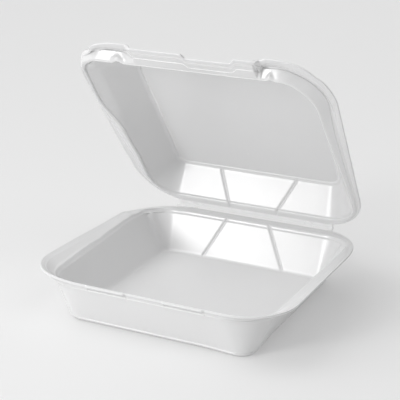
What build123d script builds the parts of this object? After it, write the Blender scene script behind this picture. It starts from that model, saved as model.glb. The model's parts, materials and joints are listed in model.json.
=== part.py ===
from build123d import *
import os
from math import atan2, degrees

# Hinged take-away container pressed from one sheet of foamed polystyrene.
# A deep tray and a shallow lid share a thin pressed web, which is the hinge.
# Millimetres. X runs along the hinge, the hinge is at the rear (+Y), Z is up.
# The origin is on the underside of the tray, in the middle of its width.

# ---- driving dimensions ------------------------------------------------------

foam = 2.8                 # thickness of the foam sheet in floor, panel and walls
rim_foam = 2.6             # thickness of the pressed flanges
web_foam = 1.3             # thickness of the hinge web, pressed thin

# tray: its rim, and the insets from the rim at each level below it
tray_height = 44.0         # underside to the top of the rim
rim_half_width = 118.0
rim_front = -112.0
rim_rear = 114.0
rim_corner = 46.0
flare_drop = 1.4           # the outer part of the rim slopes down to here
flare_side_inset = 3.5
flare_front_inset = 4.5
flare_rear_inset = 10.0
flare_corner_inset = 3.0
ledge_drop = 6.0           # a small ledge runs round inside the walls
ledge_side_inset = 16.5
ledge_front_inset = 7.5
ledge_rear_inset = 11.7
ledge_corner_inset = 14.0
ledge_width = 3.0
ledge_rise = 0.6
floor_side_inset = 35.0
floor_front_inset = 23.0
floor_rear_inset = 24.6
floor_corner_inset = 33.0
bottom_edge_radius = 4.0

# latch lugs on the tray's front rim
lug_inner = 17.5
lug_outer = 54.0
lug_reach = 2.6
lug_height = 2.0

# hinge web between the two rims
web_width = 5.5            # from each rim to the fold line
web_half_length = 82.0

# lid flange, measured against the tray's rim
lid_open_angle = 51.8      # from the rim plane of the tray
lid_rear_side_overhang = -2.5
lid_front_side_overhang = 1.5
lid_front_overhang = 5.0
lid_corner = 48.0

# lid, as insets from its flange: rear side, front side, hinge edge, front edge, corner
lid_depth = 31.0           # inside, rim plane to panel
panel_inset = (28.5, 32.5, 22.9, 46.5, 24.0)
mouth_inset = (7.0, 15.5, 6.7, 23.0, 10.0)
panel_edge_radius = 7.0

# raised lip round the lid's mouth, taller towards the front
lip_full_height = 6.0
lip_slope = 0.0195         # height gained for each millimetre from the hinge
lip_foot_inset = (2.5, 6.0, 2.0, 8.5, 3.0)
lip_crest_inset = (5.0, 13.5, 4.5, 21.5, 6.0)

# sunken latch shelf in the middle of the lid's front edge
shelf_left = -62.5
shelf_right = 58.5
shelf_left_reach = 0.0     # the shelf's front edge beyond the flange's
shelf_middle_reach = -4.0
shelf_right_reach = 2.0
shelf_middle_start = -10.0
shelf_middle_end = 33.0
shelf_step = 7.0
shelf_web = 2.4
shelf_foam = 2.5
shelf_riser_inset = 10.5   # front face of the riser behind the shelf
pocket_depth = 0.9
pocket_margin = 1.5        # slack round each lug in its pocket

# pressed stiffening grooves in the two rear walls
groove_radius = 1.1
tray_groove_top = 21.8
tray_groove_foot = 42.4
lid_groove_mouth = 24.7
lid_groove_panel = 40.7

over = 5.0                 # how far cutters run past a face

# ---- sizes that follow -------------------------------------------------------

hinge_y = rim_rear + web_width
lid_near = web_width
lid_far = hinge_y - rim_front + lid_front_overhang
lid_rear_half_width = rim_half_width + lid_rear_side_overhang
lid_front_half_width = rim_half_width + lid_front_side_overhang
shelf_riser = lid_far - shelf_riser_inset


# ---- helpers -----------------------------------------------------------------

def section(rear_half, front_half, front, rear, corner, height):
    """A flat four-sided face with rounded corners, level at the given height."""
    outline = Polygon(
        (-front_half, front), (front_half, front), (rear_half, rear), (-rear_half, rear),
        align=None,
    )
    return Pos(0, 0, height) * fillet(outline.vertices(), corner)


def stack(sections):
    """A solid through level sections, straight from each to the next."""
    return loft(sections, ruled=True)


def rod(start, end, radius):
    """A round bar from one point to another."""
    along = Vector(*end) - Vector(*start)
    seat = Plane(origin=start, z_dir=along)
    return seat * Cylinder(radius, along.length, align=(Align.CENTER, Align.CENTER, Align.MIN))


def block(x_low, x_high, y_low, y_high, z_low, z_high):
    """A box between two corners."""
    size = Box(x_high - x_low, y_high - y_low, z_high - z_low, align=(Align.MIN,) * 3)
    return Pos(x_low, y_low, z_low) * size


def level(shape, height):
    """The edges of a shape that lie at one height."""
    return shape.edges().filter_by_position(Axis.Z, height - 0.01, height + 0.01)


# ---- tray --------------------------------------------------------------------

def tray_section(side, front, rear, corner, height, skin=0.0):
    """A section of the tray, inset from the rim, and out again by the skin."""
    half_width = rim_half_width - side + skin
    return section(half_width, half_width, rim_front + front - skin, rim_rear - rear + skin,
                   rim_corner - corner + skin, height)


def make_tray():
    wall_rise = tray_height - ledge_drop - foam
    wall_rate = (floor_side_inset - ledge_side_inset) / wall_rise
    skin = foam * (1 + wall_rate ** 2) ** 0.5
    lower = wall_rate * foam

    outside = stack([
        tray_section(floor_side_inset, floor_front_inset, floor_rear_inset,
                     floor_corner_inset, 0, skin),
        tray_section(ledge_side_inset + lower, ledge_front_inset, ledge_rear_inset,
                     ledge_corner_inset, tray_height - ledge_drop - foam + ledge_rise, skin),
        tray_section(flare_side_inset, flare_front_inset - skin, flare_rear_inset - skin,
                     flare_corner_inset - 1, tray_height - flare_drop - rim_foam + ledge_rise),
        tray_section(0, 0, 0, 0, tray_height - rim_foam),
        tray_section(0, 0, 0, 0, tray_height),
    ])
    outside = fillet(level(outside, 0), bottom_edge_radius)

    inside = stack([
        tray_section(floor_side_inset, floor_front_inset, floor_rear_inset,
                     floor_corner_inset, foam),
        tray_section(ledge_side_inset, ledge_front_inset, ledge_rear_inset,
                     ledge_corner_inset, tray_height - ledge_drop),
        tray_section(ledge_side_inset - ledge_width, ledge_front_inset - ledge_rise,
                     ledge_rear_inset - ledge_rise, ledge_corner_inset - ledge_width,
                     tray_height - ledge_drop + ledge_rise),
        tray_section(flare_side_inset, flare_front_inset, flare_rear_inset,
                     flare_corner_inset, tray_height - flare_drop),
        tray_section(1, rim_foam, 1, 1, tray_height),
        tray_section(1, rim_foam, 1, 1, tray_height + over),
    ])
    inside = fillet(level(inside, foam), bottom_edge_radius - foam / 2)
    tray = outside - inside

    # the rear flange is flat out to the hinge web
    tray += block(-web_half_length, web_half_length, rim_rear - over, hinge_y,
                  tray_height - web_foam, tray_height)

    # latch lugs that stand out from the front rim
    for side in (-1, 1):
        near, far = sorted((side * lug_inner, side * lug_outer))
        lug = block(near, far, rim_front - lug_reach, rim_front + rim_foam / 2,
                    tray_height - lug_height, tray_height)
        front_edges = lug.edges().filter_by(Axis.Z).sort_by(Axis.Y)[:2]
        tray += fillet(front_edges, lug_reach * 0.6)

    # stiffening grooves on the inside of the rear wall
    for side in (-1, 1):
        tray -= rod((side * tray_groove_top, rim_rear - flare_rear_inset, tray_height - flare_drop),
                    (side * tray_groove_foot, rim_rear - floor_rear_inset, foam), groove_radius)
    return tray


# ---- lid ---------------------------------------------------------------------

def lid_section(inset, rise, skins=(0.0, 0.0, 0.0, 0.0)):
    """A section of the shut lid, inset from its flange, and out again by a skin on each side."""
    rear_side, front_side, near, far, corner = inset
    rear_skin, near_skin, far_skin, corner_skin = skins
    return section(lid_rear_half_width - rear_side + rear_skin,
                   lid_front_half_width - front_side + rear_skin,
                   hinge_y - lid_far + far - far_skin, hinge_y - lid_near - near + near_skin,
                   lid_corner - corner + corner_skin, tray_height + rise)


def lid_block(x_low, x_high, near, far, low, high):
    """A box on the shut lid, measured from the hinge line and the rim plane."""
    return block(x_low, x_high, hinge_y - far, hinge_y - near,
                 tray_height + low, tray_height + high)


def wall_section(rise, skins=(0.0, 0.0, 0.0, 0.0)):
    """The lid's wall, at a height above the rim plane."""
    share = rise / lid_depth
    inset = [m + (p - m) * share for m, p in zip(mouth_inset, panel_inset)]
    return lid_section(inset, rise, skins)


def shelf_outline():
    """The plan of the latch shelf, with its set-back middle."""
    back = shelf_riser - over
    left_far = lid_far + shelf_left_reach
    middle_far = lid_far + shelf_middle_reach
    right_far = lid_far + shelf_right_reach
    corners = [
        (shelf_left, back), (shelf_left, left_far),
        (shelf_middle_start, left_far),
        (shelf_middle_start + shelf_step / 2, middle_far),
        (shelf_middle_end, middle_far), (shelf_middle_end + shelf_step, right_far),
        (shelf_right, right_far), (shelf_right, back),
    ]
    return Polygon(*[(x, hinge_y - y) for x, y in corners], align=None)


def make_lid():
    rates = [(p - m) / lid_depth for m, p in zip(mouth_inset, panel_inset)]
    side, _, near, far, _ = [foam * (1 + rate ** 2) ** 0.5 for rate in rates]
    skins = (side, near, far, foam)
    top = lid_depth + foam

    dome = stack([wall_section(0, skins), wall_section(top, skins)])
    dome = fillet(level(dome, tray_height + top), panel_edge_radius)
    flange = extrude(lid_section((0, 0, 0, 0, 0), 0), rim_foam)
    lip = stack([
        lid_section(lip_crest_inset, -lip_full_height),
        lid_section(lip_foot_inset, 0),
        lid_section(lip_foot_inset, rim_foam / 2),
    ])
    cavity = stack([wall_section(-lip_full_height), wall_section(lid_depth)])
    cavity = fillet(level(cavity, tray_height + lid_depth), panel_edge_radius - foam / 2)

    # the latch shelf hangs below the flange, open at its front edge
    recess = lid_block(shelf_left + shelf_web, shelf_right - shelf_web, shelf_riser,
                       lid_far + over, -lip_full_height, rim_foam + over)
    shelf_low = tray_height - lip_full_height
    shelf_top = tray_height + shelf_foam - lip_slope * shelf_riser
    plate = Pos(0, 0, shelf_low) * extrude(shelf_outline(), shelf_top - shelf_low)
    cheeks = Part()
    for start in (shelf_left, shelf_right - shelf_web):
        cheeks += lid_block(start, start + shelf_web, shelf_riser - over, lid_far,
                            -lip_full_height, rim_foam)
    riser = lid_block(shelf_left, shelf_right, shelf_riser - shelf_foam, shelf_riser,
                      -lip_full_height, rim_foam)

    lid = dome + flange + lip - cavity - recess + riser + plate + cheeks - cavity

    # everything below the rim plane is trimmed to the sloping crest of the lip
    trim = block(-lid_front_half_width - over, lid_front_half_width + over, -lid_far - over, over,
                 -lid_depth, 0)
    trim = Rot(degrees(atan2(lip_slope, 1)), 0, 0) * trim
    lid -= Pos(0, hinge_y, tray_height) * trim

    # shallow pockets over the tray's lugs
    lug_near = hinge_y - rim_front
    for side in (-1, 1):
        near, far = sorted((side * (lug_inner - pocket_margin), side * (lug_outer + pocket_margin)))
        lid -= lid_block(near, far, lug_near - pocket_margin, lug_near + lug_reach + pocket_margin,
                         -lip_full_height - over, pocket_depth - lip_slope * lug_near)

    # the lid's half of the hinge web
    lid += lid_block(-web_half_length, web_half_length, 0, lid_near + over, 0, web_foam)

    # stiffening grooves on the inside of the rear wall
    mouth_y = hinge_y - lid_near - mouth_inset[2]
    panel_y = hinge_y - lid_near - panel_inset[2]
    for side in (-1, 1):
        lid -= rod((side * lid_groove_mouth, mouth_y, tray_height),
                   (side * lid_groove_panel, panel_y, tray_height + lid_depth), groove_radius)

    # swung open about the hinge line
    swing = Pos(0, hinge_y, tray_height) * Rot(-lid_open_angle, 0, 0)
    return swing * Pos(0, -hinge_y, -tray_height) * lid


# ---- files -------------------------------------------------------------------

os.makedirs("parts", exist_ok=True)
for name, make in (("base_tray", make_tray), ("lid", make_lid)):
    export_step(make(), f"parts/{name}.step")
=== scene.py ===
import bpy
import json
import math
import numpy as np
from mathutils import Matrix, Vector


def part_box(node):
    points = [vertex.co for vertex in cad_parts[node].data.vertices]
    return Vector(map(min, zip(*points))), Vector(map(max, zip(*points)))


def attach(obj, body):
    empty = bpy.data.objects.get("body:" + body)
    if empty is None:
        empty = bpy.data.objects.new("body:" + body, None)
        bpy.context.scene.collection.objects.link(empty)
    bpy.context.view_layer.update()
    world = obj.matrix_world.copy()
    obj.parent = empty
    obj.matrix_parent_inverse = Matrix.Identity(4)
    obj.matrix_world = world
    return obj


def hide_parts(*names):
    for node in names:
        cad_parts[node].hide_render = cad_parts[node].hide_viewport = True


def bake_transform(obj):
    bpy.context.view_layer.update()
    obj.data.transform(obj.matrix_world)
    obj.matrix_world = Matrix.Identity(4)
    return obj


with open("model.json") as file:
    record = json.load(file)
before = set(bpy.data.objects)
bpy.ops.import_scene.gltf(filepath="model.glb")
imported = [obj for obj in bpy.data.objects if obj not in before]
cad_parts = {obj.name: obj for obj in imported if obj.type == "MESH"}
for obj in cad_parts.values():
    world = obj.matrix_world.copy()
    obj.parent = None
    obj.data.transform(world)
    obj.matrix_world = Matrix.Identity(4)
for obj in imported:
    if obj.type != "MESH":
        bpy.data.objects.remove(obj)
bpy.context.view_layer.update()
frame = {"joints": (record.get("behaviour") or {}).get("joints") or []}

# ---- tray ------------------------------------------------------------------------
# The deep half of the container, pressed hot from a sheet of white foamed polystyrene.
# Floor, walls and flared rim are one skin, so it is modelled as one closed shell.
# It stands on its flat floor and carries the lower edge of the hinge web.

MM = 0.001
tray_low, tray_high = [np.array(corner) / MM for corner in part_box("base_tray")]
hinge = frame["joints"][0]
hinge_y, rim_z = hinge["pos_m"][1] / MM, hinge["pos_m"][2] / MM

foam = 2.8
rim_foam = 2.6
web_width = 5.5
lug_reach = 2.6
lug_inner, lug_outer = 17.5, 54.0
lug_shows = 1.5
slot_height, slot_depth, slot_half = 39.6, 2.2, 0.9
ridge_below, ridge_height = 2.4, 0.7
rim_half = tray_high[0]
rim_radius = 46.0
rim_front = tray_low[1] + lug_reach
rim_rear = hinge_y - web_width
groove_top, groove_foot = 21.8, 42.4
groove_width = 1.0
groove_depth = 1.15


def smooth(low, high, value):
    """0 below low, 1 above high, with an eased step between."""
    t = np.clip((value - low) / (high - low), 0, 1)
    return t * t * (3 - 2 * t)


def stations(spans, length):
    """Shares of a straight side, spaced as asked over each span of millimetres from its middle."""
    marks = [-length]
    for end, step in spans:
        count = max(1, round((min(end, length) - marks[-1]) / step))
        marks += list(np.linspace(marks[-1], min(end, length), count + 1)[1:])
    return (np.array(marks[:-1]) + length) / (2 * length)


shared_half = 60.0
rear_stations = stations([(-46, 2.2), (-18, 0.55), (18, 2.0), (46, 0.55), (shared_half, 2.2)],
                         shared_half)
front_stations = stations([(-57, 0.8), (-51, 0.5), (-20, 1.0), (-5, 0.5), (14, 1.0), (20, 0.5),
                           (28, 1.0), (42, 0.5), (51, 0.8), (shared_half, 0.4)], shared_half)
end_share = np.linspace(0, 1, 16, endpoint=False)
side_stations = np.linspace(0, 1, 60, endpoint=False)
front_corner_turn = np.linspace(0, 1, 36, endpoint=False)
rear_corner_turn = np.linspace(0, 1, 26, endpoint=False)


def crosswise(middle, left_end, right_end):
    """Places along a front or rear side: shared in the middle, with its own reach at each end."""
    return np.concatenate([left_end + (-shared_half - left_end) * end_share,
                           shared_half * (2 * middle - 1),
                           shared_half + (right_end - shared_half) * end_share])


def ring(rear_half, front_half, front, rear, corners, height):
    """Points round a four-sided outline with round corners, counterclockwise, from the front left.

    The corners are the radii at the front left, front right, rear right and rear left.
    """
    half = max(rear_half, front_half)
    front_left, front_right, rear_right, rear_left = corners
    quarter = math.pi / 2

    def arc(x, y, radius, quadrant, turns):
        angle = (quadrant + turns) * quarter
        return np.stack([x + radius * np.cos(angle), y + radius * np.sin(angle)], 1)

    def side(x, start, end):
        return np.stack([np.full(len(side_stations), x), start + (end - start) * side_stations], 1)

    across_front = crosswise(front_stations, front_left - half, half - front_right)
    across_rear = -crosswise(rear_stations, rear_right - half, half - rear_left)
    points = np.concatenate([
        np.stack([across_front, np.full(len(across_front), front)], 1),
        arc(half - front_right, front + front_right, front_right, -1, front_corner_turn),
        side(half, front + front_right, rear - rear_right),
        arc(half - rear_right, rear - rear_right, rear_right, 0, rear_corner_turn),
        np.stack([across_rear, np.full(len(across_rear), rear)], 1),
        arc(rear_left - half, rear - rear_left, rear_left, 1, rear_corner_turn),
        side(-half, rear - rear_left, front + front_left),
        arc(front_left - half, front + front_left, front_left, 2, front_corner_turn),
    ])
    # beyond the shared middle the sides close in from one end to the other
    share = (rear - points[:, 1]) / (rear - front)
    own_half = rear_half + (front_half - rear_half) * share
    beyond = np.maximum(np.abs(points[:, 0]) - shared_half, 0)
    closer = beyond * (own_half - shared_half) / (half - shared_half)
    points[:, 0] = np.sign(points[:, 0]) * (np.minimum(np.abs(points[:, 0]), shared_half) + closer)
    return np.column_stack([points, np.full(len(points), float(height))])


def profile(rings, rounds, steps, bend=4):
    """Rings all the way along a wall section: straight runs, with each corner rounded.

    Each inner ring has how far its rounding reaches, and each straight run its own spacing.
    """
    out = []
    last = rings[0]
    for here, after, trim, step in zip(rings[1:-1], rings[2:], rounds, steps):
        back, on = rings_between(last, here, after, trim)
        out += run_of_rings(last, back, step)
        for t in np.linspace(0, 1, bend):
            out.append((1 - t) ** 2 * back + 2 * t * (1 - t) * here + t * t * on)
        last = on
    out += run_of_rings(last, rings[-1], steps[-1])
    out.append(rings[-1])
    return np.array(out)


def rings_between(before, here, after, trim):
    """Where the rounding of a corner begins and ends, column by column."""
    result = []
    for other in (before, after):
        away = other - here
        length = np.maximum(np.linalg.norm(away, axis=1, keepdims=True), 1e-6)
        result.append(here + away * np.minimum(trim / length, 0.45))
    return result


def run_of_rings(start, end, step):
    """Evenly spaced rings on a straight run, without its last one."""
    count = max(1, math.ceil(np.linalg.norm(end - start, axis=1).max() / step))
    return [start + (end - start) * k / count for k in range(count)]


def disc(edge, centre, shares=(0.06, 0.2, 0.4, 0.6, 0.8, 0.92)):
    """Rings that fill the flat middle of a floor or panel, from its centre outwards."""
    middle = np.broadcast_to(np.array(centre, float), edge.shape)
    return [middle + (edge - middle) * share for share in shares]


def shell_mesh(name, rings, pressed, trimmed):
    """A closed mesh through rings, with one point at each end, in metres."""
    count, around = rings.shape[:2]
    ends = [rings[0].mean(0), rings[-1].mean(0)]
    verts = np.concatenate([rings.reshape(-1, 3), ends]) * MM
    here = np.arange(around)
    beside = (here + 1) % around
    faces = []
    for k in range(count - 1):
        low, high = k * around, (k + 1) * around
        faces.append(np.stack([low + here, low + beside, high + beside, high + here], 1))
    faces = np.concatenate(faces).tolist()
    first, last = count * around, count * around + 1
    top = (count - 1) * around
    faces += [(first, int(b), int(a)) for a, b in zip(here, beside)]
    faces += [(last, top + int(a), top + int(b)) for a, b in zip(here, beside)]
    mesh = bpy.data.meshes.new(name)
    mesh.from_pydata(verts.tolist(), [], faces)
    mesh.polygons.foreach_set("use_smooth", [True] * len(mesh.polygons))
    for label, share in (("pressed", pressed), ("trimmed", trimmed)):
        marks = mesh.attributes.new(label, "FLOAT", "POINT")
        whole = np.broadcast_to(share, (count, around)).reshape(-1)
        marks.data.foreach_set("value", np.append(whole, [0, 0]).astype(np.float32))
    mesh.update()
    piece = bpy.data.objects.new(name, mesh)
    bpy.context.scene.collection.objects.link(piece)
    return piece


def tray_ring(side, front, rear, front_corner, rear_corner, drop):
    """A ring of the tray: its insets from the rim, its corner radii, and its drop from the top."""
    half = rim_half - side
    corners = (front_corner, front_corner, rear_corner, rear_corner)
    return ring(half, half, rim_front + front, rim_rear - rear, corners, rim_z - drop)


def tray_rings():
    """The tray's section, from the middle of its underside over the rim to that of its floor."""
    under = tray_ring(31.9, 19.9, 21.5, 13, 9, rim_z)
    wall = tray_ring(15.4, 4.3, 8.5, 36, 30, 8.2)
    flare_under = tray_ring(3.6, 1.6, 7.0, 44, 42, 3.4)
    edge_under = tray_ring(0, 0, 0, rim_radius, rim_radius, 1.9)
    edge_over = tray_ring(0, 0, 0, rim_radius, rim_radius, 0)
    flare = tray_ring(3.5, 3.0, 8.0, 43, 43, 1.0)
    ledge_out = tray_ring(13.5, 6.9, 10.4, 35, 31, 5.4)
    ledge_in = tray_ring(16.5, 7.5, 11.7, 32, 24, 6.0)
    floor = tray_ring(35.0, 23.0, 24.6, 13, 6, rim_z - foam)

    # the near bottom corner is fuller than the others
    near = smooth(40, 80, under[:, 0]) * smooth(-40, -80, under[:, 1])
    fuller_across, fuller_forward = 2.0, 2.5
    under[:, 0] += fuller_across * near
    under[:, 1] -= fuller_forward * near
    # towards the hinge the ledge climbs and runs out into the rim
    climb_start, climb_length = -78, 145
    for level, lift, widen in ((ledge_out, 4.2, 5.0), (ledge_in, 3.9, 5.5), (wall, 3.4, 4.0)):
        climb = np.clip((level[:, 1] - climb_start) / climb_length, 0, 1)
        level[:, 2] += lift * climb
        level[:, 0] += np.sign(level[:, 0]) * widen * climb * smooth(75, 100, np.abs(level[:, 0]))
    section = [under, wall, flare_under, edge_under, edge_over, flare, ledge_out, ledge_in, floor]
    rounds = [4.0, 4.0, 2.4, 0.9, 0.9, 2.4, 2.6, 2.6, 2.4]
    bottom = disc(under, (0, 0, 0))
    top = disc(floor, (0, 0, foam))[::-1]
    steps = [3.0, 2.0, 0.7, 0.7, 0.8, 1.0, 1.2, 1.2, 1.4, 3.0]
    whole = profile([bottom[-1], *section, top[0]], rounds, steps)
    return np.concatenate([bottom[:-1], whole, top[1:]])


rings = tray_rings()
x, y, z = rings[..., 0], rings[..., 1], rings[..., 2]
rim_index = int(np.argmax(rings[:, 0, 2]))
inside = (np.arange(len(rings)) > rim_index)[:, None]

# the rim came off the mould a little untrue: its left side is lifted and pushed outwards, in
# front of a small step, and its two rear corners are drawn in
lift_out, lift_up = 2.2, 1.4
left_across, left_forward, left_down = 2.6, 2.4, 0.9
right_across = 2.0
rim_share = smooth(rim_z - 9, rim_z - 2.5, z) * smooth(100, 112, np.abs(x) + 0.35 * np.abs(y))
lifted = smooth(-60, -88, x) * (1 - smooth(-45, 50, y) * 0.5) * (1 - smooth(67, 72, y))
drawn_left = smooth(-52, -85, x) * smooth(60, 92, y)
drawn_right = smooth(60, 95, x) * smooth(50, 90, y)
rear_inset = (rim_rear - rings[..., 1].max(axis=1))[:, None]
edge_share = rim_share * np.where(inside, smooth(10.3, 4.0, rear_inset), 1.0)
rings[..., 0] += edge_share * (left_across * drawn_left - right_across * drawn_right)
rings[..., 0] -= rim_share * lift_out * lifted
rings[..., 1] -= edge_share * left_forward * drawn_left
rings[..., 2] += rim_share * (lift_up * lifted - left_down * drawn_left)

# latch lugs: the rim's front edge stands out in two places, over a slot pressed into the wall
# and a low ridge under the slot
lug_starts = smooth(lug_inner - 0.6, lug_inner + 0.8, np.abs(x))
lug_ends = smooth(lug_outer - 0.8, lug_outer + 0.6, np.abs(x))
lug_span = lug_starts * (1 - lug_ends)
at_front = smooth(-104, -108, y) * ~inside
lug = lug_span * at_front
rings[..., 1] -= lug * lug_shows * smooth(rim_z - 3.4, rim_z - 2.4, z)
rings[..., 1] += lug * slot_depth * np.exp(-((z - slot_height) / slot_half) ** 2)
rings[..., 1] -= lug * ridge_height * np.exp(-((z - slot_height + ridge_below) / slot_half) ** 2)

# a fold in each rear corner, where the hot sheet was gathered
bottom_fold, top_fold = np.array([85.3, 90.7]), np.array([102.4, 91.8])
fold_foot, fold_rise = 6, 36
fold_spread, fold_depth = 14.0, 1.4
fold_share = np.clip((z - fold_foot) / fold_rise, 0, 1)
fold_x = bottom_fold[0] + (top_fold[0] - bottom_fold[0]) * fold_share
fold_y = bottom_fold[1] + (top_fold[1] - bottom_fold[1]) * fold_share
fold = (np.exp(-((np.abs(x) - fold_x) ** 2 + (y - fold_y) ** 2) / fold_spread) * inside
        * smooth(3, 9, z) * (1 - smooth(38, 43, z)))
rings[..., 0] -= np.sign(x) * fold_depth * fold
rings[..., 1] -= fold_depth * fold

# stiffening grooves on the inside of the rear wall, spreading towards the floor
at_rear = smooth(84, 88, y) * inside
rise = np.clip((z - foam) / (rim_z - 1.4 - foam), 0, 1)
off_line = (np.abs(x) - (groove_foot + (groove_top - groove_foot) * rise)) / groove_width
groove = (np.exp(-off_line ** 2) * at_rear * (1 - smooth(rim_z - 2.0, rim_z - 1.0, z))
          * smooth(foam, foam + 2, z))
groove_lean = 0.35
rings[..., 1] += groove * groove_depth
rings[..., 2] -= groove * groove_depth * groove_lean

# the rim is squeezed tighter than the walls, and its outermost edge is where the sheet was cut
pressed = smooth(rim_z - 6, rim_z - 2, rings[..., 2])
trimmed = smooth(2.2, 0.8, rear_inset)
tray = shell_mesh("tray_shell", rings, pressed, trimmed)
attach(tray, "tray")
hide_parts("base_tray")


# The skin of pressed foam: white and satin, with faint cells under the surface and slow
# flow marks, a tighter and glossier face where it was squeezed, and a dull cut edge.

class Signal:
    """A socket in a material, so that shader maths can be written as sums."""

    def __init__(self, tree, socket):
        self.tree, self.socket = tree, socket

    def _maths(self, operation, first, second):
        return self.node("ShaderNodeMath", {"operation": operation}, {0: first, 1: second})

    def node(self, kind, settings=None, inputs=None, out=0):
        """Adds any node: its type, its settings, then the values or links of its sockets."""
        made = self.tree.nodes.new(kind)
        for key, value in (settings or {}).items():
            setattr(made, key, value)
        for key, value in (inputs or {}).items():
            if isinstance(value, Signal):
                self.tree.links.new(value.socket, made.inputs[key])
            else:
                made.inputs[key].default_value = value
        return Signal(self.tree, made.outputs[out])

    def __add__(self, other):
        return self._maths("ADD", self, other)

    def __sub__(self, other):
        return self._maths("SUBTRACT", self, other)

    def __rsub__(self, other):
        return self._maths("SUBTRACT", other, self)

    def __mul__(self, other):
        return self._maths("MULTIPLY", self, other)

    __radd__ = __add__


def foam_skin(name, light, shade, gloss):
    """Pressed white foam, with its cells, its flow marks, its squeezed face and its cut edge."""
    material = bpy.data.materials.new(name)
    material.use_nodes = True
    tree = material.node_tree
    shader = tree.nodes["Principled BSDF"]
    start = Signal(tree, None)
    place = start.node("ShaderNodeTexCoord", out="Object")
    squeezed = start.node("ShaderNodeAttribute", {"attribute_name": "pressed"}, out="Fac")
    cut = start.node("ShaderNodeAttribute", {"attribute_name": "trimmed"}, out="Fac")

    def noise(scale, detail, roughness=0.5):
        values = {"Vector": place, "Scale": scale, "Detail": detail, "Roughness": roughness}
        return place.node("ShaderNodeTexNoise", inputs=values)

    cells = place.node("ShaderNodeTexVoronoi", inputs={"Vector": place, "Scale": 620.0},
                       out="Distance")
    grain = noise(900.0, 3.0)
    drift = noise(42.0, 2.0, 0.6)
    clouds = noise(9.0, 2.0)

    tint = clouds * 0.5 + drift * 0.35 + cells * 0.3 - squeezed * 0.12
    colour = tint.node("ShaderNodeMix", {"data_type": "RGBA"},
                       {0: tint, 6: (*shade, 1), 7: (*light, 1)}, out=2)
    rough = gloss + drift * 0.06 + grain * 0.03 - squeezed * 0.04 + cut * 0.5
    height = cells * 0.15 + grain * 0.05 + drift * 0.3
    bump = height.node("ShaderNodeBump",
                       inputs={"Strength": 0.10, "Distance": 0.0006, "Height": height})
    tree.links.new(colour.socket, shader.inputs["Base Color"])
    tree.links.new(rough.socket, shader.inputs["Roughness"])
    tree.links.new(bump.socket, shader.inputs["Normal"])
    shader.inputs["Specular IOR Level"].default_value = 0.9
    return material


foam_white = foam_skin("foam_white", (0.795, 0.795, 0.795), (0.78, 0.78, 0.784), 0.21)
tray.data.materials.append(foam_white)

# ---- lid -------------------------------------------------------------------------
# The shallow half, pressed in the same stroke: a panel with sloping walls, a raised lip
# that drops inside the tray's rim when shut, and a flat flange round it. In the middle
# of the front edge the flange is set down as a shelf that closes over the tray's lugs.

shut_clearance = 2.0
open_angle = math.radians(shut_clearance - hinge["range_deg"][0])
lid_depth = 31.0
lid_near = web_width
lid_far = hinge_y - rim_front + 5.0
lid_rear_half = rim_half - 2.5
lid_front_half = rim_half + 1.5
lip_slope = 0.0195
shelf_left, shelf_right = -62.5, 58.5
shelf_web = 2.4
shelf_foam = 2.5
channel_depth = 5.4


def lid_ring(rear_side, front_side, near, far, corners, height):
    """A ring of the lid, inset from its flange, with height towards the open side."""
    return ring(lid_rear_half - rear_side, lid_front_half - front_side, -(lid_far - far),
                -(lid_near + near), corners, height)


def shelf_window(across, inset):
    """1 along the latch shelf, 0 beyond it: its left end is eased, its right end is sharp."""
    return (smooth(shelf_left + inset - 2.4, shelf_left + inset + 2.4, across)
            * (1 - smooth(shelf_right - inset - 0.6, shelf_right - inset + 0.6, across)))


def shelf_far(across):
    """How far out the shelf's front edge is cut, in its three lengths."""
    middle = smooth(-10, -6.5, across) * (1 - smooth(33, 40, across))
    return lid_far + 1.6 - 4.6 * middle + 1.2 * smooth(33, 40, across)


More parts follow.
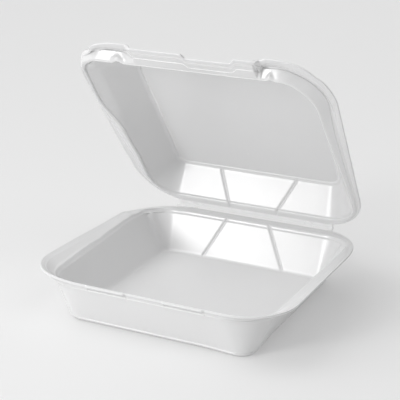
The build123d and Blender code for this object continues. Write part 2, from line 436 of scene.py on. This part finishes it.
def lid_rings():
    """The lid's section, from the middle of its back over the flange to that of its panel."""
    flange_radii = (48, 48, 48, 48)
    back_panel = lid_ring(25.3, 29.3, 21.2, 49.6, (24, 26, 16, 12), -lid_depth - foam)
    wall_root = lid_ring(5.0, 13.3, 5.0, 19.6, (28, 40, 34, 34), -rim_foam)
    flange_step = lid_ring(3.4, 8.5, 3.2, 10.6, (34, 43, 40, 40), -rim_foam + 0.4)
    shelf_back = lid_ring(3.0, 8.0, 2.8, 10.0, (36, 44, 41, 41), -rim_foam + 0.4)
    edge_back = lid_ring(0, 0, 0, 0, flange_radii, -1.8)
    edge = lid_ring(0, 0, 0, 0, flange_radii, 0)
    flange_inner = lid_ring(1.6, 3.6, 1.2, 5.6, (42, 46, 46, 46), 0)
    lip_foot = lid_ring(2.6, 7.2, 2.2, 10.9, (24, 42, 42, 42), 0)
    lip_outer = lid_ring(4.8, 13.4, 4.6, 17.8, (17, 38, 36, 36), 0)
    lip_inner = lid_ring(6.8, 15.4, 6.5, 20.4, (15, 36, 34, 30), 0)
    panel = lid_ring(28.5, 32.5, 22.9, 51.5, (20, 24, 14, 9), -lid_depth)

    across, along = edge[:, 0], -edge[:, 1]
    front = smooth(150, 215, along)
    shelf = shelf_window(across, 0) * front
    shelf_behind = shelf_window(across, shelf_web) * front
    crest = lip_slope * lid_far
    for level in (lip_outer, lip_inner):
        level[:, 2] = lip_slope * -level[:, 1]
    # beside the shelf a channel runs between the flange and the foot of the lip
    channel = channel_depth * smooth(150, 215, along) * (1 - shelf)
    lip_foot[:, 2] = -channel
    for level, share in ((wall_root, 0.9), (flange_step, 0.7)):
        level[:, 2] -= share * channel

    # over the shelf the flange lies at the height of the lip
    for level in (shelf_back, edge_back):
        level[:, 2] += (crest - shelf_foam + rim_foam - 0.4) * shelf_behind
    for level, back_off, inset in ((edge, 0, 0), (edge_back, 0, shelf_web),
                                   (flange_inner, 2.6, 1.0), (lip_foot, 9.0, 3.2)):
        share = shelf_window(level[:, 0], inset) * front
        if level is not edge_back:
            level[:, 2] += (lip_slope * -level[:, 1] - level[:, 2]) * share
        level[:, 1] += (-shelf_far(level[:, 0]) + back_off - level[:, 1]) * share

    # on the left the lip bows outwards at the front and draws in by the hinge, and on the
    # right it thickens towards the front
    draws_in = 2.5
    for level, outwards, inwards in ((flange_inner, 3.0, 0), (lip_foot, 5.0, 1.0),
                                     (lip_outer, 7.5, 4.2), (lip_inner, 8.0, 4.5),
                                     (wall_root, 5.0, 2.0), (flange_step, 4.0, 0),
                                     (shelf_back, 3.0, 0)):
        side, forward = level[:, 0], -level[:, 1]
        left = smooth(-66, -98, side)
        level[:, 0] -= left * outwards * smooth(112, 165, forward)
        level[:, 0] += left * min(outwards, draws_in) * (1 - smooth(70, 115, forward))
        level[:, 0] -= smooth(72, 98, side) * inwards * smooth(60, 170, forward)
    flange_step[:, 1] += 4.0 * shelf
    shelf_back[:, 1] += 2.5 * shelf

    # by the hinge the flange leans down into the lid
    for level, drop in ((lip_foot, 0.3), (lip_outer, 0.9), (lip_inner, 1.5)):
        level[:, 2] -= drop * (1 - smooth(8, 26, -level[:, 1]))

    section = [back_panel, wall_root, flange_step, shelf_back, edge_back, edge, flange_inner,
               lip_foot, lip_outer, lip_inner, panel]
    rounds = [8.0, 2.0, 0.8, 0.8, 1.0, 1.0, 2.4, 2.4, 1.2, 1.8, 2.6]
    back = disc(back_panel, (0, back_panel[:, 1].mean(), -lid_depth - foam))
    face = disc(panel, (0, panel[:, 1].mean(), -lid_depth))[::-1]
    steps = [4.0, 3.6, 2.0, 1.4, 1.5, 0.8, 1.1, 1.1, 1.2, 0.9, 2.4, 4.0]
    whole = profile([back[-1], *section, face[0]], rounds, steps)
    return np.concatenate([back[:-1], whole, face[1:]])


def open_lid(points):
    """From the lid's own frame (across, along, towards its open side) to where it stands open."""
    across, along, height = points[..., 0], -points[..., 1], points[..., 2]
    lean, stand = math.cos(open_angle), math.sin(open_angle)
    return np.stack([across, hinge_y - along * lean - height * stand,
                     rim_z + along * stand - height * lean], -1)


rings = lid_rings()
x, along, height = rings[..., 0], -rings[..., 1], rings[..., 2]

# the flange, like the tray's rim, spreads a little on its left side and at its front corners
side_spread, left_corner_spread, right_corner_spread = 3.6, 1.0, 2.6
flange_share = smooth(105, 113, np.abs(x)) + smooth(222, 230, along) * smooth(60, 66, np.abs(x))
flange_share = np.minimum(flange_share, 1) * smooth(-8, -4, height)
spread = smooth(20, 120, along) * smooth(-60, -100, x)
corner_spread = np.where(x < 0, left_corner_spread, right_corner_spread)
rings[..., 0] -= flange_share * side_spread * spread
rings[..., 1] -= flange_share * smooth(200, 225, along) * corner_spread
along = -rings[..., 1]
open_side = (np.arange(len(rings)) > len(rings) // 2)[:, None]

# a small gusset stiffens the foot of the lip at each end of the shelf
for middle, gusset_reach, gusset_half in ((-76.0, 3.6, 6.0), (66.0, 2.0, 4.0)):
    tip = smooth(-2.5, 3.6, height) * open_side * smooth(206, 211, along)
    tent = np.clip(1 - np.abs(x - middle) / (gusset_half * np.maximum(tip, 0.05)), 0, 1)
    rings[..., 1] -= gusset_reach * tent * tip * (1 - smooth(223, 227, along))

# stiffening grooves on the inside of the wall by the hinge
lid_groove_mouth, lid_groove_panel = 24.7, 40.7
rise = np.clip(-height / lid_depth, 0, 1)
off_line = np.abs(x) - (lid_groove_mouth + (lid_groove_panel - lid_groove_mouth) * rise)
off_line = off_line / groove_width
groove = (np.exp(-off_line ** 2) * smooth(34, 30, along) * open_side * smooth(0.4, -0.8, height)
          * (1 - smooth(lid_depth - 2, lid_depth, -height)))
rings[..., 1] += groove * groove_depth * 0.9
rings[..., 2] -= groove * groove_depth * 0.4

pressed = smooth(-4, 0, rings[..., 2])
trimmed = smooth(1.6, 0.6, (-lid_near - rings[..., 1].max(axis=1))[:, None])
# the lid's own frame is mirrored, so its rings are taken the other way round
lid = shell_mesh("lid_shell", open_lid(rings)[:, ::-1], pressed[:, ::-1], trimmed)
lid.data.materials.append(foam_white)
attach(lid, "lid")
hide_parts("lid")

# ---- hinge web -------------------------------------------------------------------
# The strip of sheet between the two rims, squeezed thin by the press so that it folds,
# and whitened by the crease; its colour is also a painted glow, lighter than the rest of the
# skin to stand in for light shining through the thin web. It joins tray and lid, bends between
# them, stands a little proud of the corner it folds round, and has a raised line along its middle.

web_half = 82.0
web_foam = 1.3
web_overlap = 1.5
fold_height = 0.45
fold_bulge = 2.4


def web_section():
    """The strip's outline across the hinge, as the lid stands: over its face and back below."""
    steps = np.linspace(-web_width - web_overlap, web_width + web_overlap, 29)
    turn = open_angle
    upper, lower = [], []
    for s in steps:
        ridge = fold_height * math.exp(-(s / 0.7) ** 2)
        share = smooth(-1.6, 1.6, s)
        lean = (math.pi - turn) * share
        reach = abs(s)
        if s < 0:
            centre = np.array([hinge_y - reach, rim_z])
        else:
            centre = np.array([hinge_y - reach * math.cos(turn), rim_z + reach * math.sin(turn)])
        bulge = fold_bulge * (1 - (s / steps[-1]) ** 2) ** 2
        centre = centre + bulge * np.array([-math.cos(turn / 2), math.sin(turn / 2)])
        normal = np.array([-math.sin(lean), math.cos(lean)])
        upper.append(centre + normal * (ridge - 0.12))
        lower.append(centre - normal * web_foam)
    return np.array(upper + lower[::-1])


outline = web_section()
lengths = np.linspace(-web_half, web_half, 165)
verts = np.array([[length, *point] for length in lengths for point in outline]) * MM
around = len(outline)
here = np.arange(around)
beside = (here + 1) % around
faces = []
for k in range(len(lengths) - 1):
    low, high = k * around, (k + 1) * around
    faces += np.stack([low + here, high + here, high + beside, low + beside], 1).tolist()
faces.append(list(range(around)))
faces.append(list(range(len(lengths) * around - 1, (len(lengths) - 1) * around - 1, -1)))
mesh = bpy.data.meshes.new("hinge_web")
mesh.from_pydata(verts.tolist(), [], faces)
mesh.polygons.foreach_set("use_smooth", [True] * (len(mesh.polygons) - 2) + [False] * 2)
marks = mesh.attributes.new("pressed", "FLOAT", "POINT")
marks.data.foreach_set("value", [1.0] * len(mesh.vertices))
web = bpy.data.objects.new("hinge_web", mesh)
bpy.context.scene.collection.objects.link(web)
# painted glow: the web is coloured whiter than tray and lid, partly the crease's own whitening and
# partly painted light shining through the thin foam
foam_creased_painted_glow = foam_skin("foam_creased_painted_glow", (0.97, 0.97, 0.97), (0.94, 0.94, 0.94), 0.28)
web.data.materials.append(foam_creased_painted_glow)
web_start = (0, rim_rear * MM, rim_z * MM)
web_end = (0, (hinge_y - web_width * math.cos(open_angle)) * MM,
           (rim_z + web_width * math.sin(open_angle)) * MM)
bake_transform(web)

# ---- studio ----------------------------------------------------------------------
# A plain pale floor, one tall softbox at the front left, four weaker soft lights from
# above, and light all round that is stronger on the left than on the right.

floor_mesh = bpy.data.meshes.new("studio_floor")
reach = 6.0
floor_grey, floor_glow = 0.64, 0.20
floor_corners = [(-reach, -reach, 0), (reach, -reach, 0), (reach, reach, 0), (-reach, reach, 0)]
floor_mesh.from_pydata(floor_corners, [], [(0, 1, 2, 3)])
studio_floor = bpy.data.objects.new("studio_floor", floor_mesh)
studio_floor.location.z = -0.0002
bpy.context.scene.collection.objects.link(studio_floor)
paper = bpy.data.materials.new("floor_paper")
paper.use_nodes = True
paper_shader = paper.node_tree.nodes["Principled BSDF"]
paper_shader.inputs["Base Color"].default_value = (floor_grey, floor_grey, floor_grey, 1)
paper_shader.inputs["Emission Color"].default_value = (1, 1, 1, 1)
paper_shader.inputs["Emission Strength"].default_value = floor_glow
paper_shader.inputs["Roughness"].default_value = 0.9
paper_shader.inputs["Specular IOR Level"].default_value = 0.1
studio_floor.data.materials.append(paper)

world = bpy.data.worlds.new("studio")
world.use_nodes = True
sky_light, sky_lean = 0.42, 0.20
sky = world.node_tree.nodes["Background"]
bearing = Signal(world.node_tree, None).node("ShaderNodeTexCoord", out="Generated")
across = bearing.node("ShaderNodeSeparateXYZ", inputs={0: bearing}, out="X")
world.node_tree.links.new((sky_light - across * sky_lean).socket, sky.inputs["Strength"])
sky.inputs["Color"].default_value = (1, 1, 1, 1)
bpy.context.scene.world = world
lit_middle, light_distance = Vector((0, 0.1, 0.07)), 1.8


def studio_light(name, kind, azimuth, elevation, energy, size):
    """A light aimed at the object from a bearing (0 is the front, 90 the right) and a height."""
    bearing, height = math.radians(azimuth), math.radians(elevation)
    towards = Vector((math.sin(bearing) * math.cos(height), -math.cos(bearing) * math.cos(height),
                      math.sin(height)))
    data = bpy.data.lights.new(name, kind)
    data.energy = energy
    if kind == "AREA":
        data.shape = "RECTANGLE"
        data.size, data.size_y = size
    else:
        data.angle = math.radians(size)
    light = bpy.data.objects.new(name, data)
    bpy.context.scene.collection.objects.link(light)
    light.rotation_mode = "QUATERNION"
    light.rotation_quaternion = towards.to_track_quat("Z", "Y")
    light.location = lit_middle + towards * light_distance


studio_light("softbox", "AREA", -25.3, 18.4, 9.2, (0.44, 0.70))
studio_light("left_fill", "SUN", -75, 50, 0.70, 40)
studio_light("back_fill", "SUN", -130, 50, 0.32, 40)
studio_light("right_fill", "SUN", 75, 50, 0.42, 40)
studio_light("top_fill", "SUN", -12, 50, 0.36, 40)

# ---- camera ----------------------------------------------------------------------
# Set a metre in front, to the right and a little above, with a long lens.

azimuth, elevation, roll = (math.radians(a) for a in (25.37, 18.34, 1.06))
aim = Vector((-0.00334, 0, 0.09401))
distance = 1.03747
back = Vector((math.sin(azimuth) * math.cos(elevation), -math.cos(azimuth) * math.cos(elevation),
               math.sin(elevation)))
level_right = Vector((math.cos(azimuth), math.sin(azimuth), 0))
level_up = back.cross(level_right)
right = level_right * math.cos(roll) + level_up * math.sin(roll)
up = back.cross(right)
camera_data = bpy.data.cameras.new("camera")
camera_data.sensor_width = 36.0
camera_data.lens = 105.76
camera = bpy.data.objects.new("camera", camera_data)
bpy.context.scene.collection.objects.link(camera)
turned = Matrix((right, up, back)).transposed().to_4x4()
camera.matrix_world = Matrix.Translation(aim + back * distance) @ turned
bpy.context.scene.camera = camera
bpy.context.scene.view_settings.view_transform = "Standard"
